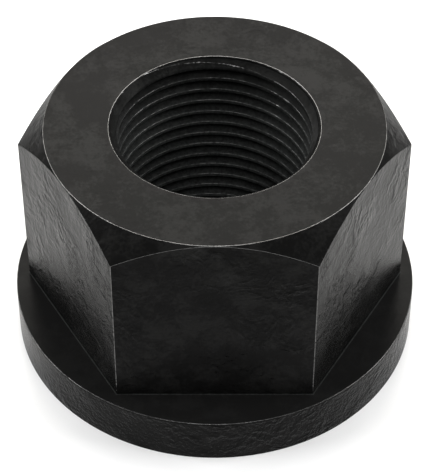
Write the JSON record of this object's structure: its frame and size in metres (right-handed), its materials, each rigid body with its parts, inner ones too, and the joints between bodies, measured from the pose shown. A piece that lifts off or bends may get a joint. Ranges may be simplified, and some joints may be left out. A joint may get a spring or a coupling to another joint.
{
  "type": "flanged hex nut",
  "caption": "Tall hexagon nut with an integral round collar, corner-chamfered top and a right-hand threaded through hole, countersunk at both ends.",
  "frame": {"origin": "centre of the collar's seat, on the thread's axis", "axes": "+Z along the thread's axis, from the collar's seat to the chamfered top; +X through a corner of the hexagon; flats face -Y and +Y"},
  "size_m": [0.0508, 0.0508, 0.0318],
  "materials": {
    "black_oxide_steel": "black oxide over milled and turned steel, satin, with bright worn edges"
  },
  "bodies": {
    "root": {"flange_nut": "black_oxide_steel"}
  },
  "joints": []
}
